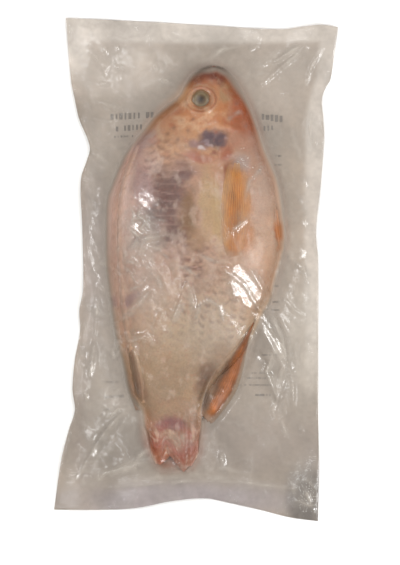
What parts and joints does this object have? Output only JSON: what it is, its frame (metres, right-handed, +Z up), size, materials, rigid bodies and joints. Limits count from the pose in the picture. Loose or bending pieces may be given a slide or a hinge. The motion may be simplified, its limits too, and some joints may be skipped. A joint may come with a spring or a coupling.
{
  "type": "whole raw fish in a clear vacuum pouch",
  "caption": "Whole scaled orange-pink fish, frozen and vacuum sealed in a clear flat pouch with welded wavy edges, lying on its side.",
  "frame": {"origin": "centre of the underside's bounding rectangle, on the surface the pack lies on", "axes": "+Y along the pack towards the fish's head, +X towards the fish's belly, +Z up out of the shown flank"},
  "size_m": [0.1873, 0.332, 0.0367],
  "materials": {
    "pouch_film": "clear, slightly milky glossy film",
    "back_film": "glossy film with frost behind it",
    "fish_skin": "wet scaled skin",
    "fish_fin": "thin wet fin with rays",
    "fish_eye": "cloudy glossy eye",
    "frost": "frost and ice glaze",
    "print_ink": "flat grey ink"
  },
  "bodies": {
    "root": {"vacuum_pouch": "pouch_film"}
  },
  "joints": []
}
